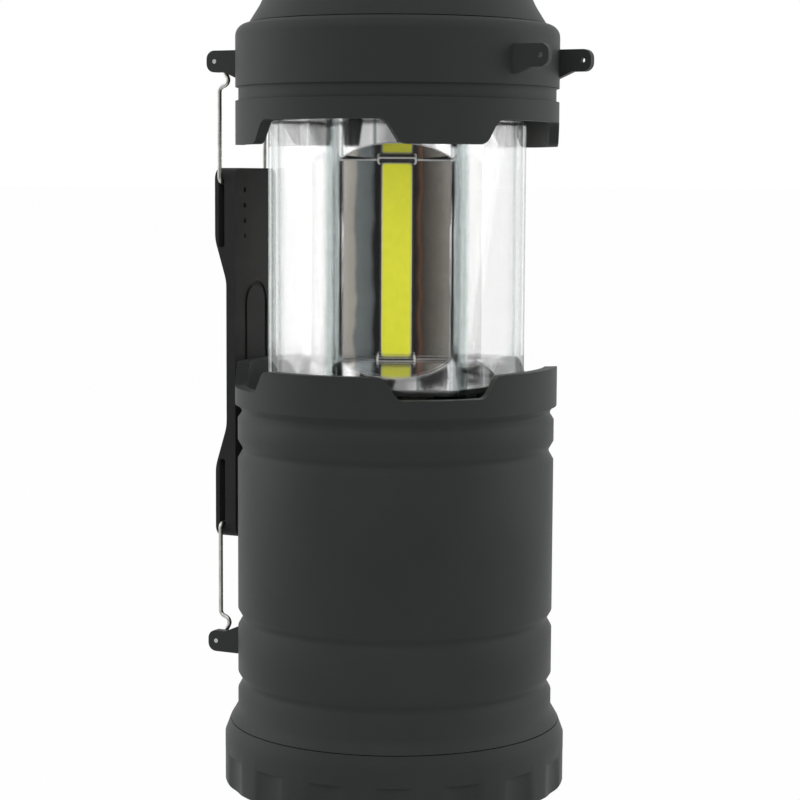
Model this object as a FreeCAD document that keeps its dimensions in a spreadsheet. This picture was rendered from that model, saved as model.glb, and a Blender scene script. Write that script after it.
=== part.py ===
import FreeCAD, Part
import math
import os
import Sketcher

# Pop-up camping lantern, drawn open, in millimetres: +Z up, origin in the middle of its foot.
# Azimuths count from the front (-Y), positive towards +X.

Vector = FreeCAD.Vector
Z_AXIS = Vector(0, 0, 1)
doc = FreeCAD.newDocument("lantern")
sheet = doc.addObject("Spreadsheet::Sheet", "dims")


class Size:
    # A length or angle that carries its value and the sheet expression it comes from.

    def __init__(self, text, value):
        self.text = text
        self.value = value

    def __add__(self, other):
        return join(self, "+", other)

    def __radd__(self, other):
        return join(other, "+", self)

    def __sub__(self, other):
        return join(self, "-", other)

    def __rsub__(self, other):
        return join(other, "-", self)

    def __mul__(self, other):
        return join(self, "*", other)

    def __rmul__(self, other):
        return join(other, "*", self)

    def __truediv__(self, other):
        return join(self, "/", other)

    def __neg__(self):
        return 0 - self


def as_size(item):
    if isinstance(item, Size):
        return item
    return Size(repr(round(float(item), 9)), float(item))


def join(left, sign, right):
    left = as_size(left)
    right = as_size(right)
    results = {
        "+": lambda: left.value + right.value,
        "-": lambda: left.value - right.value,
        "*": lambda: left.value * right.value,
        "/": lambda: left.value / right.value,
    }
    return Size("(%s %s %s)" % (left.text, sign, right.text), results[sign]())


def cosine(angle):
    return Size("cos(%s * 1 deg)" % angle.text, math.cos(math.radians(angle.value)))


def root(amount):
    return Size("sqrt(%s)" % amount.text, math.sqrt(amount.value))


def sine(angle):
    return Size("sin(%s * 1 deg)" % angle.text, math.sin(math.radians(angle.value)))


sheet_rows = []


def size(alias, value, note):
    # One row of the sheet: what it is, its value and the alias that drives the model.
    sheet_rows.append(alias)
    row = len(sheet_rows)
    sheet.set("A%d" % row, note)
    sheet.set("B%d" % row, str(value))
    sheet.setAlias("B%d" % row, alias)
    return Size("dims.%s" % alias, float(value))


# Base and its fit to the body
base_wall = size("base_wall", 5.2, "base, wall around its bore")
base_height = size("base_height", 17.0, "base, foot to seam")
base_floor = size("base_floor", 3.0, "base, floor thickness")
base_shoulder_height = size("base_shoulder_height", 3.7, "base, height of its sloped shoulder")
base_shoulder_inset = size("base_shoulder_inset", 1.4, "base, inset of its sloped shoulder")
base_edge_round = size("base_edge_round", 0.9, "base, round of its foot edge")
flute_count = 16
flute_radius = size("flute_radius", 25.0, "base, radius of a grip flute")
flute_depth = size("flute_depth", 0.9, "base, depth of a grip flute")
flute_height = size("flute_height", 9.0, "base, height of a grip flute")
base_thread_gap = size("base_thread_gap", 0.4, "gap between base bore and body neck")
base_seam = size("base_seam", 0.2, "seam between base and body")

# Body, from the seam up
flare_step = size("flare_step", 2.0, "body, how far the flare stands out at the seam")
flare_height = size("flare_height", 3.4, "body, height of the flare")
body_radius = size("body_radius", 42.5, "body, outside")
foot_band = size("foot_band", 4.4, "body, band above the flare")
groove_width = size("groove_width", 5.2, "body, width of a groove")
groove_depth = size("groove_depth", 1.5, "body, depth of a groove")
lower_band = size("lower_band", 12.0, "body, band between the lower grooves")
main_wall = size("main_wall", 40.5, "body, plain wall between the grooves")
upper_band = size("upper_band", 5.6, "body, band under the crown groove")
crown_groove_width = size("crown_groove_width", 3.9, "body, width of the crown groove")
crown_groove_depth = size("crown_groove_depth", 1.3, "body, depth of the crown groove")
crown_height = size("crown_height", 10.6, "crown, height")
crown_step = size("crown_step", 0.7, "crown, how far it stands out from the body")
body_wall = size("body_wall", 3.3, "body, wall around the slider's bore")
collar_step = size("collar_step", 0.7, "body, step that seats the collar")
neck_step = size("neck_step", 2.1, "body, how far the threaded neck stands in")
neck_wall = size("neck_wall", 2.9, "body, wall of the neck")
neck_end = size("neck_end", 6.0, "body, height of the neck's lower end")
ledge_height = size("ledge_height", 23.0, "body, underside of the tray ledge")
ledge_thickness = size("ledge_thickness", 2.0, "body, thickness of the tray ledge")
ledge_reach = size("ledge_reach", 5.0, "body, width of the tray ledge")

# Crown notches and the cap tabs that close into them
notch_azimuth = size("notch_azimuth", 16.5, "azimuth of the front notch")
notch_count = 4
notch_depth = size("notch_depth", 5.85, "notch, depth")
notch_top_width = size("notch_top_width", 30.6, "notch, width at the rim")
notch_floor_width = size("notch_floor_width", 23.2, "notch, width at its floor")
notch_round = size("notch_round", 3.0, "notch and tab, corner round")
tab_side_gap = size("tab_side_gap", 0.45, "gap beside a closed tab")
tab_end_gap = size("tab_end_gap", 0.55, "gap under a closed tab")
rim_gap = size("rim_gap", 0.9, "gap between closed cap and crown")
head_travel = size("head_travel", 63.5, "travel of the head")

# Cap
cap_step = size("cap_step", 0.2, "cap, how far it stands in from the crown")
cap_wall = size("cap_wall", 2.6, "cap, wall")
cap_skirt = size("cap_skirt", 5.4, "cap, skirt between tabs and recess")
recess_width = size("recess_width", 3.6, "cap, recess line width")
recess_depth = size("recess_depth", 0.8, "cap, recess line depth")
cap_band = size("cap_band", 16.6, "cap, band from recess to top seam")
cap_shoulder_round = size("cap_shoulder_round", 3.3, "cap, round of its shoulder")
cap_top_wall = size("cap_top_wall", 3.5, "cap, thickness of its top flange")
cap_top_flange = size("cap_top_flange", 6.0, "cap, width of its top flange")
cap_ledge_reach = size("cap_ledge_reach", 6.4, "cap, width of its inner ledge")
cap_ledge_wall = size("cap_ledge_wall", 2.5, "cap, thickness of its inner ledge")
dome_height = size("dome_height", 12.2, "dome, height above the seam")
dome_inset = size("dome_inset", 3.5, "dome, inset from the cap at the seam")
dome_waist_inset = size("dome_waist_inset", 3.1, "dome, inset of its waist")
dome_waist_height = size("dome_waist_height", 4.9, "dome, height of its waist")
dome_top_inset = size("dome_top_inset", 6.3, "dome, inset of its top")
dome_wall = size("dome_wall", 2.2, "dome, wall")
dome_spigot = size("dome_spigot", 4.0, "dome, depth of its spigot")
dome_seam = size("dome_seam", 0.1, "seam between dome and cap")

# Lugs and wire bails
strap_azimuth = size("strap_azimuth", -116.5, "azimuth of the strap and its lugs")
spare_azimuth = size("spare_azimuth", 63.5, "azimuth of the spare lugs")
wire_radius = size("wire_radius", 0.6, "bail wire, radius")
pivot_gap = size("pivot_gap", 0.1, "gap between bail wire and lug hole")
pivot_reach = size("pivot_reach", 4.4, "distance of a lug hole from the cap's wall")
cap_pivot_drop = size("cap_pivot_drop", 9.4, "depth of the cap's lug holes under the top seam")
body_pivot_height = size("body_pivot_height", 35.7, "height of the body's lug holes")
lug_reach = size("lug_reach", 2.4, "lug, reach past its hole")
lug_half_height = size("lug_half_height", 2.9, "lug, half of its height")
lug_slant = size("lug_slant", 2.0, "lug, extra height of its root")
lug_sink = size("lug_sink", 3.2, "lug, depth of its root in the wall")
lug_wall = size("lug_wall", 2.4, "lug, thickness")
leg_offset = size("leg_offset", 12.2, "bail, leg to middle plane")
leg_lug_gap = size("leg_lug_gap", 0.3, "gap between a bail leg and its lug")
bail_reach = size("bail_reach", 32.4, "bail, pivot to crossbar")
bail_bend = size("bail_bend", 1.6, "bail, bend radius of the wire")
crank_inset = size("crank_inset", 3.1, "bail, inward step of its crank")
crank_drop = size("crank_drop", 5.6, "bail, pivot to the inner bend of its crank")
crank_step = size("crank_step", 1.4, "bail, height of the step from crank to leg")
crossbar_depth = size("crossbar_depth", 4.2, "depth of a crossbar in the strap")

# Strap
strap_gap = size("strap_gap", 0.3, "gap between strap and crown")
strap_width = size("strap_width", 22.6, "strap, width")
strap_end_wall = size("strap_end_wall", 6.3, "strap, thickness at its ends")
strap_waist_wall = size("strap_waist_wall", 2.8, "strap, thickness in the middle")
strap_end_length = size("strap_end_length", 19.5, "strap, length of a thick end")
strap_taper = size("strap_taper", 11.2, "strap, length of a taper")
strap_end_margin = size("strap_end_margin", 4.0, "strap, end to crossbar")
strap_corner = size("strap_corner", 3.0, "strap, round of its corners")
slot_gap = size("slot_gap", 0.3, "gap between crossbar and slot")
slot_length = size("slot_length", 18.6, "strap, length of a slot")
groove_line_width = size("groove_line_width", 1.3, "strap, width of the oval groove")
groove_line_depth = size("groove_line_depth", 0.5, "strap, depth of the oval groove")
oval_width = size("oval_width", 12.2, "strap, width of the oval groove's outline")
oval_length = size("oval_length", 39.5, "strap, length of the oval groove's outline")
dimple_count = 4
dimple_radius = size("dimple_radius", 0.7, "strap, radius of a dimple")
dimple_depth = size("dimple_depth", 0.4, "strap, depth of a dimple")
dimple_pitch = size("dimple_pitch", 4.2, "strap, spacing of the dimples")
dimple_margin = size("dimple_margin", 5.9, "strap, first dimple to end")
dimple_side = size("dimple_side", 5.3, "strap, dimple to edge")

# Clear sleeve, slider and guide
sleeve_space = size("sleeve_space", 4.2, "space between sleeve corner and slider bore")
sleeve_round = size("sleeve_round", 4.0, "clear sleeve, outer round of its corners")
sleeve_wall = size("sleeve_wall", 2.5, "clear sleeve, wall")
sleeve_cap_depth = size("sleeve_cap_depth", 6.4, "clear sleeve, length inside the cap edge")
guide_gap = size("guide_gap", 0.3, "gap between sleeve and guide")
guide_height = size("guide_height", 6.0, "guide collar, height")
seat_gap = size("seat_gap", 0.1, "gap of a seated ring in its bore")
slider_height = size("slider_height", 6.3, "slider ring, height")
slider_stop_gap = size("slider_stop_gap", 0.4, "gap between slider and collar when open")
slider_gap = size("slider_gap", 0.3, "gap between slider and bore")

# Light column
column_radius = size("column_radius", 17.0, "column, radius")
column_foot = size("column_foot", 4.5, "column, its foot below the crown's rim")
column_head = size("column_head", 0.4, "column, its top above the cap's edge")
column_bore = size("column_bore", 3.0, "column, bore for the wires")
trough_face = size("trough_face", 8.2, "trough, distance of its face from the axis")
trough_foot = size("trough_foot", 2.1, "trough, lower lip above the column's foot")
trough_head = size("trough_head", 6.0, "trough, upper lip below the column's top")
trough_slope = size("trough_slope", 4.2, "trough, height of its sloped ends")
trough_count = 3
stem_radius = size("stem_radius", 6.0, "column, radius of its stems")
stem_length = size("stem_length", 5.5, "column, length of the lower stem")
plate_thickness = size("plate_thickness", 1.5, "reflector plate, thickness")
plate_gap = size("plate_gap", 0.15, "gap around a reflector plate and its stem")
nut_height = size("nut_height", 3.0, "column nut, height")
nut_radius = size("nut_radius", 10.0, "column nut, radius")
board_width = size("board_width", 9.0, "light board, width")
board_wall = size("board_wall", 0.9, "light board, thickness")
board_margin = size("board_margin", 0.4, "light board, gap at the trough's ends")
strip_width = size("strip_width", 8.1, "light strip, width")
strip_wall = size("strip_wall", 0.6, "light strip, thickness")
strip_margin = size("strip_margin", 0.8, "light strip, board shown at its ends")

# Cells, tray and wiring
cell_radius = size("cell_radius", 7.25, "cell, radius")
cell_length = size("cell_length", 50.5, "cell, length with its nub")
cell_nub_radius = size("cell_nub_radius", 2.7, "cell, radius of its nub")
cell_nub = size("cell_nub", 1.2, "cell, length of its nub")
cell_pitch = size("cell_pitch", 14.8, "cell, spacing")
cell_count = 3
cell_plate_gap = size("cell_plate_gap", 0.35, "gap between cells and the plates around them")
spring_length = size("spring_length", 2.4, "negative spring, length")
spring_radius = size("spring_radius", 5.0, "negative spring, radius")
spring_wall = size("spring_wall", 0.8, "negative spring, wall")
contact_wall = size("contact_wall", 0.5, "contact plate, thickness")
contact_width = size("contact_width", 9.0, "contact plate, width")
contact_gap = size("contact_gap", 0.1, "gap between a contact and its cell")
tray_wall = size("tray_wall", 1.6, "tray, end wall")
tray_plate = size("tray_plate", 1.8, "tray, plate")
tray_gap = size("tray_gap", 0.4, "gap between tray and neck")
tray_wall_margin = size("tray_wall_margin", 2.45, "tray, end wall to the rim of its plate")
tray_wall_reach = size("tray_wall_reach", 13.0, "tray, height of its end walls")
press_wall = size("press_wall", 1.8, "pressure plate, thickness")
press_inset = size("press_inset", 3.5, "pressure plate, inset from the neck's bore")
press_pin_radius = size("press_pin_radius", 4.0, "pressure plate, radius of its centre pin")
press_pin_gap = size("press_pin_gap", 0.3, "gap between pin and base socket")
press_pin = size("press_pin", 1.4, "pressure plate, length of its centre pin")
seal_section = size("seal_section", 1.3, "base seal, radius of its section")
driver_wall = size("driver_wall", 1.6, "driver board, thickness")
driver_gap = size("driver_gap", 0.5, "gap between driver board and ledge")
coil_radius = size("coil_radius", 5.0, "driver coil, radius")
coil_height = size("coil_height", 2.2, "driver coil, height")
chip_length = size("chip_length", 6.0, "driver chip, length")
chip_height = size("chip_height", 1.2, "driver chip, height")
part_offset = size("part_offset", 11.0, "driver parts, distance from the middle")
rail_azimuth = size("rail_azimuth", 75.0, "azimuth of the first contact rail")
rail_wall = size("rail_wall", 0.8, "contact rail, thickness")
rail_width = size("rail_width", 6.0, "contact rail, width")
rail_gap = size("rail_gap", 0.2, "gap behind a contact rail")
rail_channel = size("rail_channel", 8.0, "slider, width of its channel for a rail")
brush_wall = size("brush_wall", 0.6, "contact brush, thickness")
brush_width = size("brush_width", 4.0, "contact brush, width")
brush_gap = size("brush_gap", 0.15, "gap between brush and rail")
brush_margin = size("brush_margin", 1.0, "contact brush, slider shown at its ends")

# Screws
screw_radius = size("screw_radius", 1.3, "screw, shank radius")
screw_hole_gap = size("screw_hole_gap", 0.1, "gap between screw and hole")
screw_head_radius = size("screw_head_radius", 2.4, "screw, head radius")
screw_head = size("screw_head", 1.6, "screw, head height")
screw_tip_gap = size("screw_tip_gap", 0.5, "screw, hole left beyond its tip")
cap_screw_inset = size("cap_screw_inset", 3.2, "cap screws, distance from the cap's inner wall")
tray_screw_inset = size("tray_screw_inset", 2.9, "tray screws, distance from the neck's bore")
head_plate_wall = size("head_plate_wall", 3.0, "head plate, thickness")
cap_screw_count = 6
tray_screw_count = 2

# Radii worked out from the sizes above
crown_radius = body_radius + crown_step
bore_radius = body_radius - body_wall
collar_seat_radius = bore_radius + collar_step
neck_radius = body_radius - neck_step
neck_bore = neck_radius - neck_wall
ledge_bore = neck_bore - ledge_reach
press_radius = neck_bore - press_inset
tray_screw_circle = neck_bore - tray_screw_inset
base_radius = neck_radius + base_thread_gap + base_wall
flare_radius = body_radius + flare_step
cap_radius = crown_radius - cap_step
cap_inner = cap_radius - cap_wall
cap_top_bore = cap_radius - cap_top_flange
cap_ledge_bore = cap_inner - cap_ledge_reach
cap_screw_circle = cap_inner - cap_screw_inset
dome_radius = cap_radius - dome_inset
dome_waist_radius = dome_radius - dome_waist_inset
dome_top_radius = dome_radius - dome_top_inset
pivot_radius = cap_radius + pivot_reach
lug_root = cap_radius - lug_sink
strap_inner = crown_radius + strap_gap
crossbar_radius = strap_inner + crossbar_depth
sleeve_corner = bore_radius - sleeve_space

# Heights worked out from the sizes above
flare_bottom = base_height + base_seam
flare_top = flare_bottom + flare_height
groove_a = flare_top + foot_band
groove_b = groove_a + groove_width + lower_band
groove_c = groove_b + groove_width + main_wall
crown_groove = groove_c + groove_width + upper_band
crown_bottom = crown_groove + crown_groove_width
crown_top = crown_bottom + crown_height
notch_floor = crown_top - notch_depth
cap_edge = crown_top + rim_gap + head_travel
tab_bottom = notch_floor + tab_end_gap + head_travel
recess_bottom = cap_edge + cap_skirt
band_bottom = recess_bottom + recess_width
cap_top = band_bottom + cap_band
cap_pivot = cap_top - cap_pivot_drop
sleeve_top = cap_edge + sleeve_cap_depth
head_plate_top = sleeve_top + head_plate_wall
slider_top = crown_groove - slider_stop_gap
slider_bottom = slider_top - slider_height
column_bottom = crown_top - column_foot
column_top = cap_edge + column_head
trough_bottom = column_bottom + trough_foot
trough_top = column_top - trough_head
pressure_bottom = base_floor + 2 * seal_section - press_wall
press_top = pressure_bottom + press_wall
cell_height = press_top + cell_plate_gap + cell_radius
tray_top = ledge_height
tray_bottom = tray_top - tray_plate
doc.recompute()


def bind(item, path, amount):
    # Drive one property of an object by the sheet.
    item.setExpression(path, as_size(amount).text)


def origin_plane(body, role):
    return [item for item in body.Origin.OriginFeatures if item.Role == role][0]


def new_body(label, azimuth=None):
    # A body in its own frame; with an azimuth, its X axis points outwards there.
    body = doc.addObject("PartDesign::Body", label)
    body.Label = label
    if azimuth is not None:
        turn = azimuth - 90
        body.Placement = FreeCAD.Placement(Vector(), FreeCAD.Rotation(Z_AXIS, turn.value))
        bind(body, "Placement.Rotation.Angle", turn * Size("1 deg", 1.0))
    return body


def new_sketch(body, role, offset=0, turn=None):
    # A sketch on one of the body's own planes, moved along its normal or turned about Z.
    sketch = body.newObject("Sketcher::SketchObject", body.Name + "_sketch")
    sketch.AttachmentSupport = [(origin_plane(body, role), "")]
    sketch.MapMode = "FlatFace"
    offset = as_size(offset)
    place = FreeCAD.Placement(Vector(0, 0, offset.value), FreeCAD.Rotation())
    if turn is not None:
        place.Rotation = FreeCAD.Rotation(Vector(0, 1, 0), turn.value)
    sketch.AttachmentOffset = place
    bind(sketch, "AttachmentOffset.Base.z", offset)
    if turn is not None:
        bind(sketch, "AttachmentOffset.Rotation.Angle", turn * Size("1 deg", 1.0))
    return sketch


def fix_point(sketch, shape, end, x, y):
    for kind, amount in (("DistanceX", x), ("DistanceY", y)):
        rule = sketch.addConstraint(Sketcher.Constraint(kind, -1, 1, shape, end, as_size(amount).value))
        bind(sketch, "Constraints[%d]" % rule, amount)


def toward(start, end):
    # The unit step from one corner to another.
    run = end[0] - start[0]
    rise = end[1] - start[1]
    length = root(run * run + rise * rise)
    return run / length, rise / length


def corner_ends(before, corner, after):
    # Where the outline stops before a corner and starts again after it, and the centre of its round.
    if len(corner) == 2:
        return corner, corner, None
    back = toward(corner, before)
    ahead = toward(corner, after)
    spread = back[0] * ahead[0] + back[1] * ahead[1]
    reach = corner[2] * root((1 + spread) / (1 - spread))
    arrive = (corner[0] + back[0] * reach, corner[1] + back[1] * reach)
    leave = (corner[0] + ahead[0] * reach, corner[1] + ahead[1] * reach)
    spot = flat_point(corner)
    inward = (flat_point(arrive) + flat_point(leave) - spot * 2).normalize()
    half_turn = math.acos(spread.value) / 2
    return arrive, leave, spot + inward * (corner[2].value / math.sin(half_turn))


def flat_point(corner):
    return Vector(corner[0].value, corner[1].value, 0)


def draw(sketch, corners):
    # A closed outline through corners (x, y) or (x, y, round); a rounded corner gets a tangent arc.
    corners = [tuple(as_size(item) for item in corner) for corner in corners]
    count = len(corners)
    ends = []
    for n in range(count):
        ends.append(corner_ends(corners[n - 1], corners[n], corners[(n + 1) % count]))
    lines = []
    for n in range(count):
        start = flat_point(ends[n][1])
        stop = flat_point(ends[(n + 1) % count][0])
        lines.append(sketch.addGeometry(Part.LineSegment(start, stop)))
    for n, (arrive, leave, centre) in enumerate(ends):
        before = lines[n - 1]
        after = lines[n]
        fix_point(sketch, after, 1, leave[0], leave[1])
        if centre is None:
            sketch.addConstraint(Sketcher.Constraint("Coincident", before, 2, after, 1))
            continue
        fix_point(sketch, before, 2, arrive[0], arrive[1])
        # The sketch takes arcs anticlockwise, so a clockwise corner is drawn from its far end.
        first = flat_point(arrive) - centre
        last = flat_point(leave) - centre
        clockwise = first.cross(last).z < 0
        if clockwise:
            first, last = last, first
        start_turn = math.atan2(first.y, first.x)
        end_turn = math.atan2(last.y, last.x)
        circle = Part.Circle(centre, Z_AXIS, corners[n][2].value)
        arc = sketch.addGeometry(Part.ArcOfCircle(circle, start_turn, end_turn))
        first, last = (2, 1) if clockwise else (1, 2)
        sketch.addConstraint(Sketcher.Constraint("Coincident", before, 2, arc, first))
        sketch.addConstraint(Sketcher.Constraint("Coincident", arc, last, after, 1))
        rule = sketch.addConstraint(Sketcher.Constraint("Radius", arc, corners[n][2].value))
        bind(sketch, "Constraints[%d]" % rule, corners[n][2])


def draw_circle(sketch, x, y, radius):
    centre = Vector(as_size(x).value, as_size(y).value, 0)
    ring = sketch.addGeometry(Part.Circle(centre, Z_AXIS, as_size(radius).value))
    rule = sketch.addConstraint(Sketcher.Constraint("Radius", ring, as_size(radius).value))
    bind(sketch, "Constraints[%d]" % rule, radius)
    fix_point(sketch, ring, 3, x, y)


def spin(body, corners):
    # A full turn of an outline in radius and height.
    sketch = new_sketch(body, "XZ_Plane")
    draw(sketch, corners)
    turned = body.newObject("PartDesign::Revolution", body.Name + "_turned")
    turned.Profile = sketch
    turned.ReferenceAxis = (sketch, ["V_Axis"])
    turned.Angle = 360
    doc.recompute()
    return turned


def grow(body, sketch, length, middle=False):
    pad = body.newObject("PartDesign::Pad", body.Name + "_pad")
    pad.Profile = sketch
    bind(pad, "Length", length)
    if middle:
        pad.SideType = "Symmetric"
    doc.recompute()
    return pad


def cut(body, sketch, length, middle=False, forward=False):
    # A pocket that has to take material away.
    doc.recompute()
    before = body.Shape.Volume
    pocket = body.newObject("PartDesign::Pocket", body.Name + "_pocket")
    pocket.Profile = sketch
    bind(pocket, "Length", length)
    pocket.Reversed = forward
    if middle:
        pocket.SideType = "Symmetric"
    doc.recompute()
    if body.Shape.Volume > before - 1e-3:
        raise RuntimeError("a pocket of %s cuts nothing" % body.Label)
    return pocket


def repeat(body, feature, sketch, count, axis):
    # The same feature several times around the lantern's axis.
    pattern = body.newObject("PartDesign::PolarPattern", body.Name + "_pattern")
    pattern.Originals = [feature]
    pattern.Axis = (sketch, [axis])
    pattern.Angle = 360
    pattern.Occurrences = count
    body.Tip = pattern
    doc.recompute()
    return pattern


def rectangle(x_low, x_high, y_low, y_high):
    return [(x_low, y_low), (x_high, y_low), (x_high, y_high), (x_low, y_high)]


def hexagon(corner):
    points = []
    for step in range(6):
        turn = math.radians(60 * step)
        points.append((corner * round(math.cos(turn), 9), corner * round(math.sin(turn), 9)))
    return points


def ring_of_circles(sketch, count, circle, radius, first_turn):
    for step in range(count):
        turn = math.radians(first_turn + 360 * step / count)
        draw_circle(sketch, circle * round(math.cos(turn), 9), circle * round(math.sin(turn), 9), radius)


def block(label, x_span, y_span, z_span, azimuth=None):
    body = new_body(label, azimuth)
    sketch = new_sketch(body, "XY_Plane", z_span[0])
    draw(sketch, rectangle(x_span[0], x_span[1], y_span[0], y_span[1]))
    grow(body, sketch, z_span[1] - z_span[0])
    return body


def group(label, members):
    # Separate solids that share one name.
    compound = doc.addObject("Part::Compound", label)
    compound.Label = label
    compound.Links = members
    doc.recompute()
    return compound


def fuse(label, members):
    joined = doc.addObject("Part::MultiFuse", label)
    joined.Label = label
    joined.Shapes = members
    joined.Refine = True
    doc.recompute()
    return joined


def remove(label, base, tool):
    trimmed = doc.addObject("Part::Cut", label)
    trimmed.Label = label
    trimmed.Base = base
    trimmed.Tool = tool
    trimmed.Refine = True
    doc.recompute()
    return trimmed


def notch_outline(rim_half, floor_half, rim, floor):
    # A tab or notch: straight slopes with rounded corners, open above its rim.
    wing = 2 * notch_round
    lift = rim + rim_gap
    return [
        (-rim_half - wing, lift),
        (-rim_half - wing, rim),
        (-rim_half, rim, notch_round),
        (-floor_half, floor, notch_round),
        (floor_half, floor, notch_round),
        (rim_half, rim, notch_round),
        (rim_half + wing, rim),
        (rim_half + wing, lift),
    ]


def cut_notches(body, outline, reach):
    sketch = new_sketch(body, "XZ_Plane", 0, notch_azimuth)
    draw(sketch, outline)
    pocket = cut(body, sketch, reach, forward=True)
    repeat(body, pocket, sketch, notch_count, "V_Axis")


def groove(radius, depth, bottom, width):
    return [
        (radius, bottom),
        (radius - depth, bottom + width / 2, depth),
        (radius, bottom + width),
    ]


lug_inner = leg_offset + wire_radius + leg_lug_gap
lug_hole = wire_radius + pivot_gap


def lug_plates(label, azimuth, hole_height, root_side):
    # Two plates with one hole each; the root slants to one side (1 up, -1 down).
    near = hole_height - root_side * lug_half_height
    far = hole_height + root_side * lug_half_height
    tip = pivot_radius + lug_reach
    tip_round = lug_half_height - wire_radius
    outline = [
        (lug_root, near),
        (tip, near, tip_round),
        (tip, far, tip_round),
        (pivot_radius - lug_half_height, far),
        (lug_root, far + root_side * lug_slant),
    ]
    plates = []
    for name, offset in (("near", lug_inner), ("far", -(lug_inner + lug_wall))):
        body = new_body("%s_%s" % (label, name), azimuth)
        sketch = new_sketch(body, "XZ_Plane", offset)
        draw(sketch, outline)
        draw_circle(sketch, pivot_radius, hole_height, lug_hole)
        grow(body, sketch, lug_wall)
        plates.append(body)
    return plates


def make_base_cap():
    body = new_body("base_cap")
    bore = neck_radius + base_thread_gap
    shoulder = base_height - base_shoulder_height
    socket = press_pin_radius + press_pin_gap
    socket_floor = pressure_bottom - press_pin - press_pin_gap
    spin(body, [
        (0, 0),
        (base_radius, 0, base_edge_round),
        (base_radius, shoulder),
        (base_radius - base_shoulder_inset, base_height),
        (bore, base_height),
        (bore, base_floor),
        (socket, base_floor),
        (socket, socket_floor),
        (0, socket_floor),
    ])
    sketch = new_sketch(body, "XY_Plane")
    draw_circle(sketch, base_radius + flute_radius - flute_depth, 0, flute_radius)
    pocket = cut(body, sketch, flute_height, forward=True)
    repeat(body, pocket, sketch, flute_count, "N_Axis")
    return body


def make_pressure_plate():
    body = new_body("pressure_plate")
    pin_end = pressure_bottom - press_pin
    spin(body, [
        (0, pin_end),
        (press_pin_radius, pin_end),
        (press_pin_radius, pressure_bottom),
        (press_radius, pressure_bottom),
        (press_radius, press_top),
        (0, press_top),
    ])
    return body


def make_base_seal():
    ring = doc.addObject("Part::Torus", "base_seal")
    ring.Label = "base_seal"
    bind(ring, "Radius1", (neck_bore + neck_radius) / 2)
    bind(ring, "Radius2", seal_section)
    bind(ring, "Placement.Base.z", (base_floor + neck_end) / 2)
    return ring


def make_body_shell():
    shell = new_body("body_wall")
    ledge_top = ledge_height + ledge_thickness
    outline = [
        (neck_bore, neck_end),
        (neck_radius, neck_end),
        (neck_radius, flare_bottom),
        (flare_radius, flare_bottom),
        (body_radius, flare_top),
    ]
    for bottom in (groove_a, groove_b, groove_c):
        outline += groove(body_radius, groove_depth, bottom, groove_width)
    outline += groove(body_radius, crown_groove_depth, crown_groove, crown_groove_width)
    outline += [
        (crown_radius, crown_bottom),
        (crown_radius, crown_top),
        (collar_seat_radius, crown_top),
        (collar_seat_radius, crown_groove),
        (bore_radius, crown_groove),
        (bore_radius, ledge_top),
        (ledge_bore, ledge_top),
        (ledge_bore, ledge_height),
        (neck_bore, ledge_height),
    ]
    spin(shell, outline)
    sketch = new_sketch(shell, "XY_Plane", ledge_height)
    ring_of_circles(sketch, tray_screw_count, tray_screw_circle, screw_radius + screw_hole_gap, 0)
    cut(shell, sketch, ledge_thickness, forward=True)
    outline = notch_outline(notch_top_width / 2, notch_floor_width / 2, crown_top, notch_floor)
    cut_notches(shell, outline, 2 * crown_radius)
    return fuse("body_shell", [shell] + lug_plates("body_lug", strap_azimuth, body_pivot_height, 1))


def make_cap_shell():
    shell = new_body("cap_wall_ring")
    inner = cap_inner
    flange = cap_top - cap_top_wall
    ledge_top = head_plate_top + cap_ledge_wall
    spin(shell, [
        (inner, tab_bottom),
        (cap_radius, tab_bottom),
        (cap_radius, recess_bottom),
        (cap_radius - recess_depth, recess_bottom),
        (cap_radius - recess_depth, band_bottom),
        (cap_radius, band_bottom),
        (cap_radius, cap_top, cap_shoulder_round),
        (cap_top_bore, cap_top),
        (cap_top_bore, flange),
        (inner, flange),
        (inner, ledge_top),
        (cap_ledge_bore, ledge_top),
        (cap_ledge_bore, head_plate_top),
        (inner, head_plate_top),
    ])
    sketch = new_sketch(shell, "XY_Plane", head_plate_top)
    ring_of_circles(sketch, cap_screw_count, cap_screw_circle, screw_radius + screw_hole_gap, 30)
    cut(shell, sketch, cap_ledge_wall, forward=True)
    lugs = lug_plates("cap_lug", strap_azimuth, cap_pivot, -1)
    lugs += lug_plates("spare_lug", spare_azimuth, cap_pivot, -1)
    whole = fuse("cap_with_lugs", [shell] + lugs)
    # What is cut away between the tabs: a ring that keeps the shape of each tab free.
    gaps = new_body("tab_gaps")
    spin(gaps, [
        (inner - cap_wall, tab_bottom - cap_wall),
        (cap_radius + cap_wall, tab_bottom - cap_wall),
        (cap_radius + cap_wall, cap_edge),
        (inner - cap_wall, cap_edge),
    ])
    rim_half = notch_top_width / 2 - tab_side_gap
    floor_half = notch_floor_width / 2 - tab_side_gap
    cut_notches(gaps, notch_outline(rim_half, floor_half, cap_edge, tab_bottom), 2 * cap_radius)
    return remove("cap_shell", whole, gaps)


def make_cap_dome():
    body = new_body("cap_dome")
    bottom = cap_top + dome_seam
    top = bottom + dome_height
    waist = bottom + dome_waist_height
    spigot = cap_top_bore - seat_gap
    spigot_bore = spigot - dome_wall
    spin(body, [
        (spigot_bore, bottom - dome_spigot),
        (spigot, bottom - dome_spigot),
        (spigot, bottom),
        (dome_radius, bottom),
        (dome_waist_radius, waist, 8 * dome_wall),
        (dome_top_radius, top, dome_wall),
        (0, top),
        (0, top - dome_wall),
        (dome_top_radius - dome_wall, top - dome_wall),
        (spigot_bore, bottom),
    ])
    return body


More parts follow.
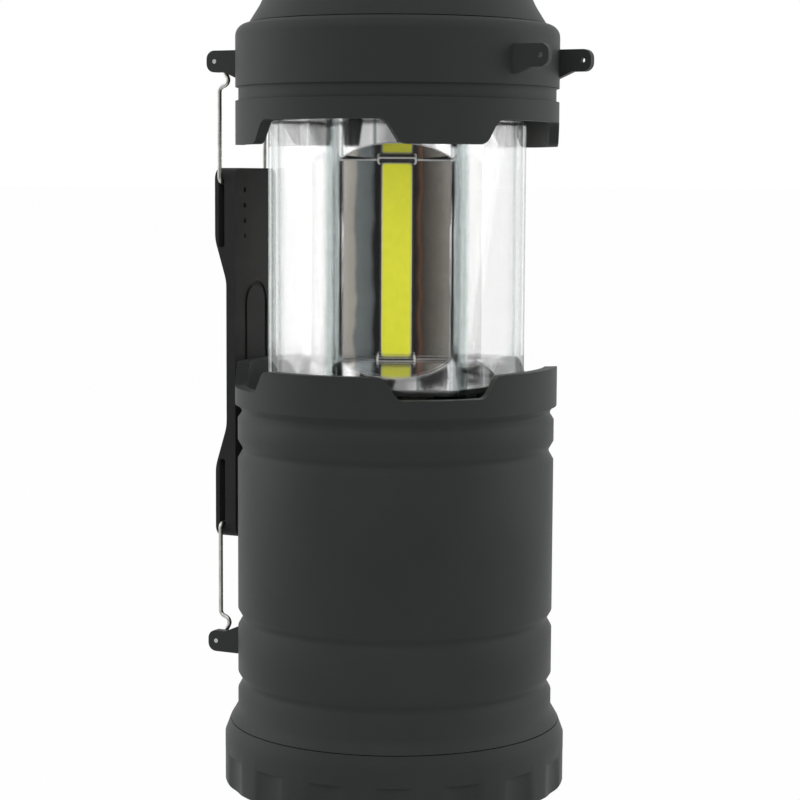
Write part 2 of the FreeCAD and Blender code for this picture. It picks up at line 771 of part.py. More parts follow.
def make_head_plate():
    body = new_body("head_plate")
    sketch = new_sketch(body, "XY_Plane", sleeve_top)
    draw_circle(sketch, 0, 0, cap_inner - seat_gap)
    ring_of_circles(sketch, cap_screw_count, cap_screw_circle, screw_radius + screw_hole_gap, 30)
    grow(body, sketch, head_plate_wall)
    return body


def make_screws(label, count, circle, first_turn, head_bottom, shank_length):
    # Screws that point up, heads below.
    screws = []
    for step in range(count):
        body = new_body("%s_%d" % (label, step + 1))
        spin(body, [
            (0, 0),
            (screw_head_radius, 0),
            (screw_head_radius, screw_head),
            (screw_radius, screw_head),
            (screw_radius, screw_head + shank_length),
            (0, screw_head + shank_length),
        ])
        turn = math.radians(first_turn + 360 * step / count)
        bind(body, "Placement.Base.x", circle * round(math.cos(turn), 9))
        bind(body, "Placement.Base.y", circle * round(math.sin(turn), 9))
        bind(body, "Placement.Base.z", head_bottom)
        screws.append(body)
    return group(label, screws)


def make_prism_ring(label, outer, inner, bottom, height):
    body = new_body(label)
    sketch = new_sketch(body, "XY_Plane", bottom)
    for outline in (outer, inner):
        if isinstance(outline, list):
            draw(sketch, outline)
        else:
            draw_circle(sketch, 0, 0, outline)
    grow(body, sketch, height)
    return body


# A hexagon's corner stands further out than its flat by this ratio.
corner_ratio = 1 / math.cos(math.radians(30))
sleeve_inside = sleeve_corner - sleeve_wall * corner_ratio


def make_sleeve():
    height = sleeve_top - slider_bottom
    outer = [corner + (sleeve_round,) for corner in hexagon(sleeve_corner)]
    inner = [corner + (sleeve_round - sleeve_wall,) for corner in hexagon(sleeve_inside)]
    return make_prism_ring("clear_sleeve", outer, inner, slider_bottom, height)


def make_guide_collar():
    hole = hexagon(sleeve_corner + guide_gap * corner_ratio)
    outer = collar_seat_radius - seat_gap
    return make_prism_ring("guide_collar", outer, hole, crown_groove, guide_height)


rail_face = bore_radius - rail_gap - rail_wall
channel_floor = rail_face - brush_gap - brush_wall


def make_slider_ring():
    hole = hexagon(sleeve_corner + seat_gap * corner_ratio)
    outer = bore_radius - slider_gap
    body = make_prism_ring("slider_ring", outer, hole, slider_bottom, slider_height)
    sketch = new_sketch(body, "XZ_Plane", 0, rail_azimuth)
    draw(sketch, rectangle(-rail_channel / 2, rail_channel / 2, slider_bottom, slider_top))
    bind(sketch, "AttachmentOffset.Base.x", channel_floor * sine(rail_azimuth))
    bind(sketch, "AttachmentOffset.Base.z", channel_floor * cosine(rail_azimuth))
    pocket = cut(body, sketch, bore_radius, forward=True)
    repeat(body, pocket, sketch_on_axis(body), 2, "V_Axis")
    return body


def sketch_on_axis(body):
    # An empty upright sketch, whose vertical axis is the lantern's own.
    return new_sketch(body, "XZ_Plane")


def rail_pair(label, x_span, width, z_span):
    half = width / 2
    pair = []
    for step, azimuth in enumerate((rail_azimuth, rail_azimuth + 180)):
        pair.append(block("%s_%d" % (label, step + 1), x_span, (-half, half), z_span, azimuth))
    return group(label, pair)


def make_column():
    body = new_body("reflector_column")
    spin(body, [
        (column_bore, column_bottom - stem_length),
        (stem_radius, column_bottom - stem_length),
        (stem_radius, column_bottom),
        (column_radius, column_bottom),
        (column_radius, column_top),
        (stem_radius, column_top),
        (stem_radius, sleeve_top),
        (column_bore, sleeve_top),
    ])
    sketch = new_sketch(body, "XZ_Plane", 0, Size("90", 90.0) * -1)
    beyond = 2 * column_radius - trough_face
    rise = trough_slope * (beyond - trough_face) / (column_radius - trough_face)
    draw(sketch, [
        (trough_face, trough_bottom + trough_slope),
        (beyond, trough_bottom + trough_slope - rise),
        (beyond, trough_top - trough_slope + rise),
        (trough_face, trough_top - trough_slope),
    ])
    pocket = cut(body, sketch, 2 * column_radius, middle=True)
    repeat(body, pocket, sketch, trough_count, "V_Axis")
    return body


def make_light_strips():
    low = trough_bottom + trough_slope + board_margin
    high = trough_top - trough_slope - board_margin
    board_face = trough_face + board_wall
    parts = []
    for step in range(trough_count):
        azimuth = as_size(360 * step / trough_count)
        half = board_width / 2
        name = "cob_board_%d" % (step + 1)
        parts.append(block(name, (trough_face, board_face), (-half, half), (low, high), azimuth))
        half = strip_width / 2
        span = (board_face, board_face + strip_wall)
        name = "cob_phosphor_%d" % (step + 1)
        parts.append(block(name, span, (-half, half), (low + strip_margin, high - strip_margin), azimuth))
    return parts


def make_plates():
    outer = hexagon(sleeve_inside - plate_gap * corner_ratio)
    hole = stem_radius + plate_gap
    nut_bottom = column_bottom - plate_thickness - nut_height
    return [
        make_prism_ring("upper_reflector_plate", outer, hole, column_top, plate_thickness),
        make_prism_ring("lower_reflector_plate", outer, hole, column_bottom - plate_thickness, plate_thickness),
        make_prism_ring("column_nut", hexagon(nut_radius), hole, nut_bottom, nut_height),
    ]


def make_cells():
    cells = []
    for step in range(cell_count):
        way = 1 - 2 * (step % 2)
        body = new_body("battery_%d" % (step + 1))
        spin(body, [
            (0, 0),
            (cell_radius, 0, 2 * contact_wall),
            (cell_radius, cell_length - cell_nub, 2 * contact_wall),
            (cell_nub_radius, cell_length - cell_nub),
            (cell_nub_radius, cell_length),
            (0, cell_length),
        ])
        body.Placement.Rotation = FreeCAD.Rotation(Vector(1, 0, 0), -90 * way)
        bind(body, "Placement.Base.x", cell_pitch * (step - (cell_count - 1) / 2))
        bind(body, "Placement.Base.y", (cell_length - spring_length) / 2 * -way)
        bind(body, "Placement.Base.z", cell_height)
        cells.append(body)
    return cells


# The cells' flat ends and nubs, measured from the middle of the tray.
spring_end = (cell_length + spring_length) / 2 - contact_gap
nub_end = (cell_length + spring_length) / 2 + contact_gap


def make_contacts():
    springs = []
    plates = []
    half = contact_width / 2
    for step in range(cell_count):
        way = 1 - 2 * (step % 2)
        middle = cell_pitch * (step - (cell_count - 1) / 2)
        spring = new_body("negative_spring_%d" % (step + 1))
        base = spring_length - 2 * contact_gap
        spin(spring, [
            (spring_radius - spring_wall, 0),
            (spring_radius, 0),
            (spring_radius / 2 + spring_wall, base),
            (spring_radius / 2, base),
        ])
        spring.Placement.Rotation = FreeCAD.Rotation(Vector(1, 0, 0), -90 * way)
        bind(spring, "Placement.Base.x", middle)
        bind(spring, "Placement.Base.y", spring_end * -way)
        bind(spring, "Placement.Base.z", cell_height)
        springs.append(spring)
        sides = sorted([nub_end * way, (nub_end + contact_wall) * way], key=lambda side: side.value)
        heights = (cell_height - half, cell_height + half)
        name = "positive_contact_%d" % (step + 1)
        plates.append(block(name, (middle - half, middle + half), sides, heights))
    return [group("negative_springs", springs), group("positive_contacts", plates)]


def make_tray():
    body = new_body("battery_tray")
    radius = neck_bore - tray_gap
    sketch = new_sketch(body, "XY_Plane", tray_bottom)
    draw_circle(sketch, 0, 0, radius)
    ring_of_circles(sketch, tray_screw_count, tray_screw_circle, screw_radius + screw_hole_gap, 0)
    grow(body, sketch, tray_plate)
    near = nub_end + contact_wall + contact_gap
    far = near + tray_wall
    half_width = root(radius * radius - far * far) - tray_wall_margin
    wall_bottom = tray_bottom - tray_wall_reach
    for side in (1, -1):
        span = sorted([near * side, far * side], key=lambda edge: edge.value)
        sketch = new_sketch(body, "XY_Plane", wall_bottom)
        draw(sketch, rectangle(-half_width, half_width, span[0], span[1]))
        grow(body, sketch, tray_wall_reach)
    return body


def make_driver():
    board = new_body("driver_board")
    sketch = new_sketch(board, "XY_Plane", tray_top)
    draw_circle(sketch, 0, 0, ledge_bore - driver_gap)
    grow(board, sketch, driver_wall)
    top = tray_top + driver_wall
    coil = new_body("driver_coil")
    sketch = new_sketch(coil, "XY_Plane", top)
    draw_circle(sketch, part_offset, 0, coil_radius)
    grow(coil, sketch, coil_height)
    half = chip_length / 2
    chip_span = (-part_offset - half, -part_offset + half)
    chip = block("driver_chip", chip_span, (-half, half), (top, top + chip_height))
    return [board, group("board_parts", [coil, chip])]


def make_strap():
    body = new_body("strap", strap_azimuth)
    upper_bar = cap_pivot - bail_reach
    lower_bar = body_pivot_height + bail_reach
    top = upper_bar + strap_end_margin
    bottom = lower_bar - strap_end_margin
    outer = strap_inner + strap_end_wall
    waist = strap_inner + strap_waist_wall
    bend = strap_taper
    sketch = new_sketch(body, "XZ_Plane")
    draw(sketch, [
        (strap_inner, bottom),
        (outer, bottom),
        (outer, bottom + strap_end_length, bend),
        (waist, bottom + strap_end_length + strap_taper, bend),
        (waist, top - strap_end_length - strap_taper, bend),
        (outer, top - strap_end_length, bend),
        (outer, top),
        (strap_inner, top),
    ])
    grow(body, sketch, strap_width, middle=True)
    # Rounded corners, seen from the front of the strap: what lies outside them is cut off
    half_width = strap_width / 2
    sketch = new_sketch(body, "YZ_Plane", strap_inner)
    edge = half_width + strap_corner
    draw(sketch, rectangle(-edge, edge, bottom - strap_corner, top + strap_corner))
    corners = rectangle(-half_width, half_width, bottom, top)
    draw(sketch, [corner + (strap_corner,) for corner in corners])
    cut(body, sketch, strap_end_wall, forward=True)
    # Slots for the crossbars, right through from side to side
    half_slot = wire_radius + slot_gap
    low_side = crossbar_radius - half_slot
    high_side = crossbar_radius + half_slot
    slot_round = half_slot - slot_gap / 2
    for end, way in ((upper_bar + half_slot, -1), (lower_bar - half_slot, 1)):
        sketch = new_sketch(body, "XZ_Plane")
        other = end + way * slot_length
        corners = rectangle(low_side, high_side, end, other)
        draw(sketch, [corner + (slot_round,) for corner in corners])
        cut(body, sketch, strap_width, middle=True)
    # Oval groove line and dimples on the inner face
    middle = (top + bottom) / 2
    sketch = new_sketch(body, "YZ_Plane", strap_inner)
    for inset in (0, groove_line_width):
        half_width = oval_width / 2 - inset
        half_length = oval_length / 2 - inset
        corners = rectangle(-half_width, half_width, middle - half_length, middle + half_length)
        draw(sketch, [corner + (half_width - slot_gap,) for corner in corners])
    cut(body, sketch, groove_line_depth, forward=True)
    sketch = new_sketch(body, "YZ_Plane", strap_inner)
    for step in range(dimple_count):
        draw_circle(sketch, strap_width / 2 - dimple_side, top - dimple_margin - dimple_pitch * step, dimple_radius)
    cut(body, sketch, dimple_depth, forward=True)
    return body


def bent_wire(points, bends):
    # A round wire along straight runs, with a tangent arc at each inner point.
    edges = []
    start = points[0]
    for n in range(1, len(points) - 1):
        back = (points[n - 1] - points[n]).normalize()
        ahead = (points[n + 1] - points[n]).normalize()
        half_turn = back.getAngle(ahead) / 2
        reach = bends[n - 1] / math.tan(half_turn)
        arrive = points[n] + back * reach
        leave = points[n] + ahead * reach
        inward = (back + ahead).normalize()
        middle = points[n] + inward * (bends[n - 1] / math.sin(half_turn) - bends[n - 1])
        edges.append(Part.LineSegment(start, arrive).toShape())
        edges.append(Part.Arc(arrive, middle, leave).toShape())
        start = leave
    edges.append(Part.LineSegment(start, points[-1]).toShape())
    path = Part.Wire(edges)
    heading = points[1] - points[0]
    section = Part.Wire([Part.makeCircle(wire_radius.value, points[0], heading)])
    wire = path.makePipeShell([section], True, False)
    whole = math.pi * wire_radius.value ** 2 * path.Length
    print("bent wire: length %.2f mm, volume share %.4f" % (path.Length, wire.Volume / whole))
    return wire


def make_bail(label, pivot_height, way):
    # From one lug hole along a cranked leg to the crossbar and back; way is 1 up, -1 down.
    pivot = pivot_radius.value
    side = leg_offset.value
    stub = (lug_inner + lug_wall - pivot_gap).value
    height = pivot_height.value
    crank = way * crank_drop.value
    half = [
        Vector(pivot, -stub, height),
        Vector(pivot, -side, height),
        Vector(pivot - crank_inset.value, -side, height + crank),
        Vector(crossbar_radius.value, -side, height + crank + way * crank_step.value),
        Vector(crossbar_radius.value, -side, height + way * bail_reach.value),
    ]
    points = half + [Vector(point.x, -point.y, point.z) for point in reversed(half)]
    stub_bend = wire_radius.value + 0.8 * leg_lug_gap.value
    bends = [stub_bend] + [bail_bend.value] * (len(points) - 4) + [stub_bend]
    bail = doc.addObject("Part::Feature", label)
    bail.Label = label
    bail.Shape = bent_wire(points, bends)
    turn = strap_azimuth.value - 90
    bail.Placement = FreeCAD.Placement(Vector(), FreeCAD.Rotation(Z_AXIS, turn))
    return bail


screw_reach_cap = head_plate_wall + cap_ledge_wall - screw_tip_gap
screw_reach_tray = tray_plate + ledge_thickness - screw_tip_gap
rail_bottom = ledge_height + ledge_thickness
rail_span = (rail_bottom, crown_groove - slider_stop_gap)
brush_span = (slider_bottom + brush_margin, slider_top - brush_margin)

parts = [
    make_base_cap(),
    make_pressure_plate(),
    make_base_seal(),
    make_body_shell(),
    make_guide_collar(),
    make_tray(),
    make_screws("tray_screws", tray_screw_count, tray_screw_circle, 0, tray_bottom - screw_head, screw_reach_tray),
    rail_pair("contact_rails", (rail_face, rail_face + rail_wall), rail_width, rail_span),
    make_cap_shell(),
    make_cap_dome(),
    make_head_plate(),
    make_screws("cap_screws", cap_screw_count, cap_screw_circle, 30, sleeve_top - screw_head, screw_reach_cap),
    make_sleeve(),
    make_slider_ring(),
    rail_pair("contact_brushes", (channel_floor, channel_floor + brush_wall), brush_width, brush_span),
    make_column(),
    make_strap(),
    make_bail("upper_bail", cap_pivot, -1),
    make_bail("lower_bail", body_pivot_height, 1),
]
parts += make_cells() + make_contacts() + make_driver() + make_light_strips() + make_plates()
doc.recompute()

failed = [item.Label for item in doc.Objects if "Invalid" in item.State or "Error" in item.State]
if failed:
    raise RuntimeError("these failed: %s" % ", ".join(failed))
for part in parts:
    if part.Shape.isNull() or not part.Shape.isValid():
        raise RuntimeError("%s has no valid shape" % part.Label)

os.makedirs("parts", exist_ok=True)
for part in parts:
    part.Shape.exportStep("parts/%s.step" % part.Label)
    box = part.Shape.BoundBox
    print("%-24s %d solids %9.1f mm3, z %.2f to %.2f" % (
        part.Label, len(part.Shape.Solids), part.Shape.Volume, box.ZMin, box.ZMax))
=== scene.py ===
import math

import bmesh
import bpy
from mathutils import Euler, Matrix, Vector


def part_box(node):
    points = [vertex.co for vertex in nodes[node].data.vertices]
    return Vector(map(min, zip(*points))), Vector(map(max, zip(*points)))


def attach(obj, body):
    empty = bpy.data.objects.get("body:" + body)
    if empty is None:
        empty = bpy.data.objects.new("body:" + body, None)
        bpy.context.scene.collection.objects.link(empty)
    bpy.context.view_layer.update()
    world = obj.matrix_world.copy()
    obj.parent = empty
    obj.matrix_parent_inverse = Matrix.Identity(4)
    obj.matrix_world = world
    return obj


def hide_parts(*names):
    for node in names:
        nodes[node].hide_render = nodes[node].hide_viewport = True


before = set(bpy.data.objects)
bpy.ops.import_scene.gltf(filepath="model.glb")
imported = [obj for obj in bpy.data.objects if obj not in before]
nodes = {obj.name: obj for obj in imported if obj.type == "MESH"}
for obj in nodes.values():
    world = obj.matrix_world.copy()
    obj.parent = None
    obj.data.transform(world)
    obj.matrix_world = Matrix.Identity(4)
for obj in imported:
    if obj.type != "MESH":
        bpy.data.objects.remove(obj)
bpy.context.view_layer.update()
mm = 0.001
print("frame loaded:", len(nodes), "nodes")


def linear(hexText):
    # sRGB hex to the linear colour that the shader wants
    parts = [int(hexText[i:i + 2], 16) / 255 for i in (1, 3, 5)]
    return [c / 12.92 if c <= 0.04045 else ((c + 0.055) / 1.055) ** 2.4 for c in parts] + [1.0]


def addNode(tree, kind, settings=None, values=None, links=None):
    # one node with its settings, its fixed inputs and what feeds it; inputs go by name or number
    node = tree.nodes.new(kind)
    for name, value in (settings or {}).items():
        setattr(node, name, value)
    for name, value in (values or {}).items():
        node.inputs[name].default_value = value
    for name, socket in (links or {}).items():
        tree.links.new(socket, node.inputs[name])
    return node


def startMaterial(name):
    material = bpy.data.materials.new(name)
    material.use_nodes = True
    tree = material.node_tree
    shader = tree.nodes["Principled BSDF"]
    place = addNode(tree, "ShaderNodeTexCoord").outputs["Object"]
    return material, tree, shader, place


# Surfaces that share a cloudy, grained finish. Cloud, grain and depth are sizes in mm. The real
# grains are mostly too fine to show, so they are drawn a few times coarser.
surfaces = {
    # ABS moulded in a spark-eroded tool: dull dark grey, faintly mottled, mirrors very little
    "shellAbs": dict(dark="#383a3a", light="#3d3f3f", cloud=24, grain=0.45, rough=(0.46, 0.62),
                     bump=0.22, depth=0.05, fixed={"Specular IOR Level": 0.16}),
    # moulded TPE rubber: darker and softer than the shell, with a faint dusty sheen
    "strapTpe": dict(dark="#2c2c2d", light="#323233", cloud=12, grain=0.35, rough=(0.55, 0.7),
                     bump=0.2, depth=0.05, fixed={"Specular IOR Level": 0.12, "Sheen Weight": 0.1}),
    # ABS from a plain tool, for what is inside: near black with a soft gloss
    "innerAbs": dict(dark="#232324", light="#29292a", cloud=15, grain=0.5, rough=(0.4, 0.55),
                     bump=0.1, depth=0.04),
    # lacquered label on a dry cell's steel can: smooth slate grey with a clear gloss
    "cellJacket": dict(dark="#3b4048", light="#454b54", cloud=9, grain=0.6, rough=(0.25, 0.35),
                       bump=0.05, depth=0.02),
    # glass-epoxy board under solder mask: deep green and glossy
    "boardMask": dict(dark="#1f4a2c", light="#265635", cloud=7, grain=0.4, rough=(0.3, 0.4),
                      bump=0.1, depth=0.02),
    # aluminium cores of the light boards, anodised black: the dye hides the metal under a satin
    "anodisedCore": dict(dark="#1a1a1a", light="#212120", cloud=4, grain=0.3, rough=(0.3, 0.4),
                         bump=0.08, depth=0.02),
    # silicone dam, cast around each light strip: pale cream with a soft gloss
    "paleDam": dict(dark="#cfd0a4", light="#dcdcb4", cloud=3, grain=0.3, rough=(0.35, 0.45),
                    bump=0.08, depth=0.02),
    # moulded nitrile rubber of the seal: dull black
    "sealNitrile": dict(dark="#1b1b1b", light="#202020", cloud=6, grain=0.3, rough=(0.45, 0.6),
                        bump=0.1, depth=0.02),
    # phosphor powder in cast silicone: even yellow and finely grained, with a painted glow
    # (emission) that brightens it in any light
    "phosphorGel": dict(dark="#d6d81c", light="#e0de22", cloud=2.2, grain=0.25, rough=(0.38, 0.5),
                        bump=0.3, depth=0.06,
                        fixed={"Coat Weight": 0.15, "Emission Color": linear("#d8da1e"),
                               "Emission Strength": 0.3}),
    # moulded white polycarbonate around the ends of the strips: clean, pale and glossy
    "paleTrim": dict(dark="#dededa", light="#eaeae6", cloud=3, grain=0.3, rough=(0.2, 0.3),
                     bump=0.05, depth=0.02),
    # painted shade: a dull near-black sheet on each strip holder, standing in for the shade inside
    # its slot
    "paintedSlotShade": dict(dark="#101011", light="#161617", cloud=3, grain=0.3, rough=(0.5, 0.6),
                      bump=0.1, depth=0.02),
    # drawn stainless steel: bright grey, with reflections that the drawing marks blur
    "drawnSteel": dict(dark="#a9a8a4", light="#c6c5c2", cloud=2.5, grain=0.2, rough=(0.2, 0.34),
                       bump=0.12, depth=0.02, fixed={"Metallic": 1.0}),
    # stamped brass strip: warm yellow, slightly blurred
    "stampedBrass": dict(dark="#b08d3e", light="#c6a352", cloud=4, grain=0.3, rough=(0.25, 0.4),
                         bump=0.1, depth=0.02, fixed={"Metallic": 1.0}),
    # aluminium, vacuum plated on moulded plastic: a mirror with a slight orange peel
    "platedMirror": dict(dark="#c4c4c4", light="#d6d6d6", cloud=14, grain=2.5, rough=(0.05, 0.1),
                         bump=0.04, depth=0.08, fixed={"Metallic": 1.0}),
}
# where the cloud is fully dark and fully light, and how fine the two patterns go
mottle = {"dark": 0.3, "light": 0.7, "cloudDetail": 4.0, "grainDetail": 3.0}


def makeSurface(name, look):
    # cloudy colour, and a grain that changes the roughness and that the light catches
    material, tree, shader, place = startMaterial(name)
    cloud = addNode(tree, "ShaderNodeTexNoise", links={"Vector": place},
                    values={"Scale": 1 / (look["cloud"] * mm), "Detail": mottle["cloudDetail"]})
    grain = addNode(tree, "ShaderNodeTexNoise", links={"Vector": place},
                    values={"Scale": 1 / (look["grain"] * mm), "Detail": mottle["grainDetail"]})
    ramp = addNode(tree, "ShaderNodeValToRGB", links={"Fac": cloud.outputs["Fac"]})
    for element, tone in zip(ramp.color_ramp.elements, ("dark", "light")):
        element.position = mottle[tone]
        element.color = linear(look[tone])
    tree.links.new(ramp.outputs["Color"], shader.inputs["Base Color"])
    rough = addNode(tree, "ShaderNodeMapRange", links={"Value": grain.outputs["Fac"]},
                    values={"To Min": look["rough"][0], "To Max": look["rough"][1]})
    tree.links.new(rough.outputs["Result"], shader.inputs["Roughness"])
    bump = addNode(tree, "ShaderNodeBump", links={"Height": grain.outputs["Fac"]},
                   values={"Strength": look["bump"], "Distance": look["depth"] * mm})
    tree.links.new(bump.outputs["Normal"], shader.inputs["Normal"])
    for socket, value in look.get("fixed", {}).items():
        shader.inputs[socket].default_value = value
    return material


# The corner's reach is in radians around the column, and straight is the share of the view that
# the thin wall doesn't bend
acrylic = {"clear": "#ffffff", "corner": "#b4bfbd", "corners": 6, "cornerReach": 0.075,
           "straight": 0.58, "rough": 0.012, "ior": 1.49}


def makeAcrylic():
    # polished PMMA: clear, and grey-green where the wall is seen edge-on at its corners
    material, tree, shader, place = startMaterial("clearPmma")
    shader.inputs["Roughness"].default_value = acrylic["rough"]
    shader.inputs["IOR"].default_value = acrylic["ior"]
    shader.inputs["Transmission Weight"].default_value = 1.0
    # how far round each point is from the nearest corner
    halfSide = math.pi / acrylic["corners"]
    parts = addNode(tree, "ShaderNodeSeparateXYZ", links={"Vector": place})
    angle = addNode(tree, "ShaderNodeMath", {"operation": "ARCTAN2"},
                    links={0: parts.outputs["X"], 1: parts.outputs["Y"]})
    turn = addNode(tree, "ShaderNodeMath", {"operation": "ADD"}, {1: halfSide + 2 * math.pi},
                   {0: angle.outputs[0]})
    away = addNode(tree, "ShaderNodeMath", {"operation": "PINGPONG"}, {1: halfSide},
                   {0: turn.outputs[0]})
    opened = addNode(tree, "ShaderNodeMapRange", {"interpolation_type": "SMOOTHSTEP"},
                     {"From Max": acrylic["cornerReach"]}, {"Value": away.outputs[0]})
    tint = addNode(tree, "ShaderNodeValToRGB", links={"Fac": opened.outputs["Result"]})
    tint.color_ramp.elements[0].color = linear(acrylic["corner"])
    tint.color_ramp.elements[1].color = linear(acrylic["clear"])
    tree.links.new(tint.outputs["Color"], shader.inputs["Base Color"])
    # light reaches the column through the wall, and part of the view goes straight through too
    path = addNode(tree, "ShaderNodeLightPath")
    clear = addNode(tree, "ShaderNodeBsdfTransparent", links={"Color": tint.outputs["Color"]})
    straight = addNode(tree, "ShaderNodeMapRange", links={"Value": path.outputs["Is Shadow Ray"]},
                       values={"To Min": acrylic["straight"], "To Max": 1.0})
    mix = addNode(tree, "ShaderNodeMixShader",
                  links={"Fac": straight.outputs["Result"], 1: shader.outputs["BSDF"],
                         2: clear.outputs["BSDF"]})
    tree.links.new(mix.outputs["Shader"], tree.nodes["Material Output"].inputs["Surface"])
    return material


# Mirror wings: position across the trough and tone of each painted reflection band (a dark room and
# its lights, as a mirror shows them, painted into the colour); wave and depth in mm
plating = {
    "wave": 9, "detail": 3.0, "sway": 0.045, "rough": 0.13, "bump": 0.12, "depth": 0.3,
    "paintedReflections": [(0.0, "#e8e5dc"), (0.1, "#d4d1c8"), (0.13, "#939a9c"), (0.26, "#7d8588"),
                (0.3, "#1c1d1e"), (0.40, "#0c0c0c"), (0.62, "#0e0d0c"), (0.69, "#332d29"),
                (0.725, "#7d573f"), (0.75, "#544d47"), (0.88, "#8a867f"), (1.0, "#b5b2aa")],
}


def makePaintedReflectionPlating():
    # aluminium, vacuum plated on moulded plastic: a mirror whose colour holds painted reflections
    # as uneven light and dark bands, top to bottom
    material, tree, shader, place = startMaterial("paintedReflectionPlating")
    across = addNode(tree, "ShaderNodeAttribute", {"attribute_name": "across"})
    wave = addNode(tree, "ShaderNodeTexNoise", links={"Vector": place},
                   values={"Scale": 1 / (plating["wave"] * mm), "Detail": plating["detail"]})
    sway = addNode(tree, "ShaderNodeMapRange", links={"Value": wave.outputs["Fac"]},
                   values={"To Min": -plating["sway"], "To Max": plating["sway"]})
    spot = addNode(tree, "ShaderNodeMath", {"operation": "ADD"},
                   links={0: across.outputs["Fac"], 1: sway.outputs["Result"]})
    # painted reflection: light, dark and brown bands across the trough, wobbled by the wave
    ramp = addNode(tree, "ShaderNodeValToRGB", links={"Fac": spot.outputs[0]})
    elements = ramp.color_ramp.elements  # its two ends are there from the start
    for position, tone in plating["paintedReflections"][1:-1]:
        elements.new(position)
    for element, (position, tone) in zip(elements, plating["paintedReflections"]):
        element.color = linear(tone)
    tree.links.new(ramp.outputs["Color"], shader.inputs["Base Color"])
    shader.inputs["Metallic"].default_value = 1.0
    shader.inputs["Roughness"].default_value = plating["rough"]
    bump = addNode(tree, "ShaderNodeBump", links={"Height": wave.outputs["Fac"]},
                   values={"Strength": plating["bump"], "Distance": plating["depth"] * mm})
    tree.links.new(bump.outputs["Normal"], shader.inputs["Normal"])
    return material


finish = {name: makeSurface(name, look) for name, look in surfaces.items()}
finish["clearPmma"] = makeAcrylic()
finish["paintedReflectionPlating"] = makePaintedReflectionPlating()
# what each CAD node is made of
wear = {
    "shellAbs": ["body_shell", "cap_shell", "cap_dome", "base_cap"],
    "innerAbs": ["slider_ring", "head_plate", "battery_tray", "pressure_plate", "board_parts"],
    "drawnSteel": ["tray_screws", "cap_screws", "column_nut", "negative_springs", "upper_bail",
                   "lower_bail"],
    "stampedBrass": ["contact_rails", "contact_brushes", "positive_contacts"],
    "cellJacket": ["battery_1", "battery_2", "battery_3"],
    "platedMirror": ["guide_collar", "reflector_column", "upper_reflector_plate",
                     "lower_reflector_plate"],
    "anodisedCore": ["cob_board_1", "cob_board_2", "cob_board_3"],
    "phosphorGel": ["cob_phosphor_1", "cob_phosphor_2", "cob_phosphor_3"],
    "strapTpe": ["strap"],
    "sealNitrile": ["base_seal"],
    "boardMask": ["driver_board"],
    "clearPmma": ["clear_sleeve"],
}
for finishName, names in wear.items():
    for name in names:
        nodes[name].data.materials.clear()
        nodes[name].data.materials.append(finish[finishName])
print("materials on all nodes")


def newPiece(name, bm, finishName, body):
    mesh = bpy.data.meshes.new(name)
    bm.to_mesh(mesh)
    bm.free()
    piece = bpy.data.objects.new(name, mesh)
    bpy.context.scene.collection.objects.link(piece)
    mesh.materials.append(finish[finishName])
    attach(piece, body)
    return piece


# Shells with softened edges, made over their CAD solids; widths in mm, angles in degrees
softEdge = {"angle": 38, "segments": 2, "flatAngle": 0.3, "mergeWithin": 0.001}
softShells = {
    "body_shell": dict(width=0.45, body="housing", finish="shellAbs", slot="shell_plastic"),
    "cap_shell": dict(width=0.45, body="head", finish="shellAbs", slot="shell_plastic"),
    "cap_dome": dict(width=0.3, body="head", finish="shellAbs", slot="shell_plastic"),
    "base_cap": dict(width=0.35, body="base", finish="shellAbs", slot="shell_plastic"),
    "strap": dict(width=0.8, body="strap", finish="strapTpe", slot="strap_rubber"),
}
sharpAngle = math.radians(softEdge["angle"])
for name, shell in softShells.items():
    bm = bmesh.new()
    bm.from_mesh(nodes[name].data)
    bmesh.ops.remove_doubles(bm, verts=bm.verts, dist=softEdge["mergeWithin"] * mm)
    bmesh.ops.dissolve_limit(bm, angle_limit=math.radians(softEdge["flatAngle"]), verts=bm.verts,
                             edges=bm.edges)
    for edge in bm.edges:
        edge.smooth = edge.is_manifold and edge.calc_face_angle(0) < sharpAngle
    for face in bm.faces:
        face.smooth = True
    piece = newPiece(name + "_soft", bm, shell["finish"], shell["body"])
    bevel = piece.modifiers.new("softEdge", "BEVEL")
    bevel.width = shell["width"] * mm
    bevel.segments = softEdge["segments"]
    bevel.limit_method = "ANGLE"
    bevel.angle_limit = sharpAngle
    bevel.harden_normals = True
    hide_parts(name)
print("soft shells:", len(softShells))

# Each trough of the column, in mm: the first one faces the front, so its board and its gel give
# the depths and the ends
(boardLow, boardHigh), (gelLow, gelHigh) = (
    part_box(name) for name in ("cob_board_1", "cob_phosphor_1"))
trough = {"count": 3, "face": -boardHigh.y / mm, "seat": 0.12, "rise": 1.0, "outer": 14.2}
sideNames = {-1: "left", 1: "right"}


def turned(bm, step):
    # from the trough's own frame (X outwards) to its azimuth
    angle = math.radians(360 / trough["count"] * step - 90)
    bmesh.ops.rotate(bm, verts=bm.verts, cent=(0, 0, 0), matrix=Matrix.Rotation(angle, 3, "Z"))


# Mirror wing beside a light strip: a thin sheet that curves up towards the trough's edge
wing = {"inner": 4.3, "steps": 12, "wall": 0.12, "creaseAngle": 40}


